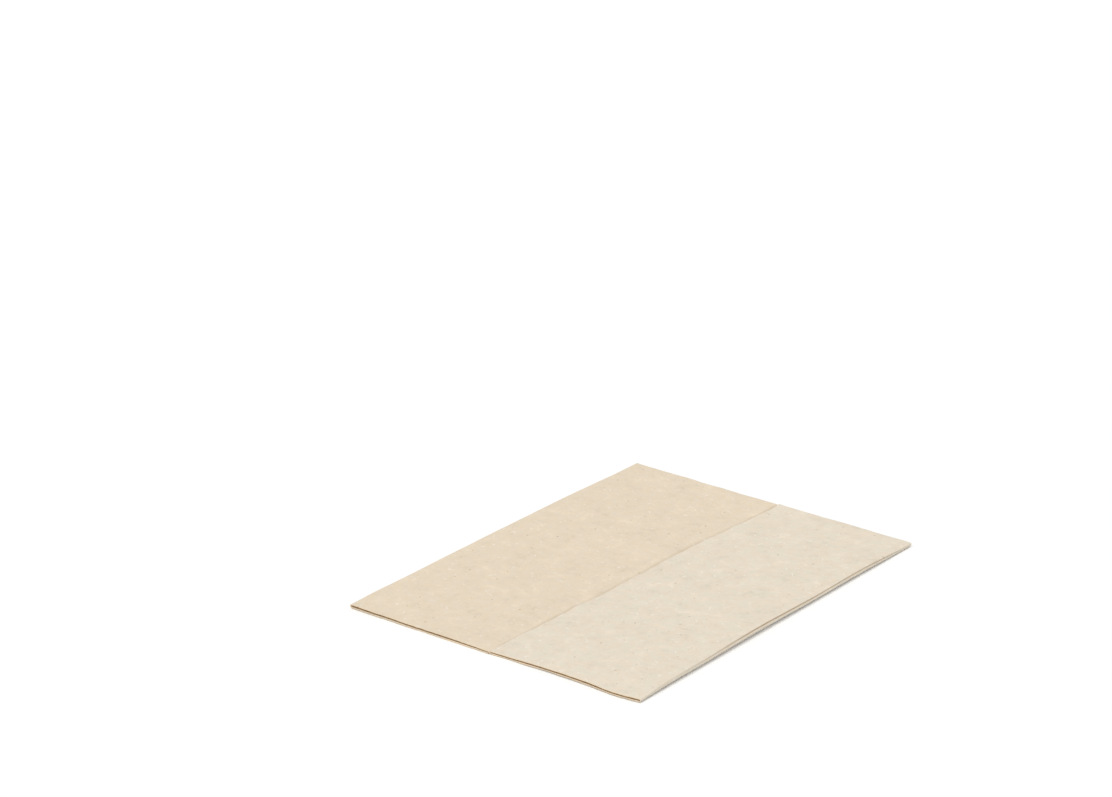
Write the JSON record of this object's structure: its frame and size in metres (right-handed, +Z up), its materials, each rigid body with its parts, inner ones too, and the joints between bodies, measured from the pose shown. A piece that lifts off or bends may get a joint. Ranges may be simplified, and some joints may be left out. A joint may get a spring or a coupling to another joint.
{
  "type": "folded paper napkin",
  "caption": "Natural tissue paper napkin, Z-folded to half width on both sides, lying flat with loosely rounded folds and cut edges.",
  "frame": {"origin": "bottom centre of the folded napkin, on the surface that it lies on, midway between the two folds and between the two cut sides", "axes": "+X across the folds from the left fold to the right fold, +Y along the folds from the near cut side to the far one, +Z up"},
  "size_m": [0.125, 0.165, 0.0034],
  "materials": {
    "tissue_paper": "matte, soft and fibrous, natural unbleached tone, its second side a little paler"
  },
  "bodies": {
    "root": {"napkin": "tissue_paper"}
  },
  "joints": []
}
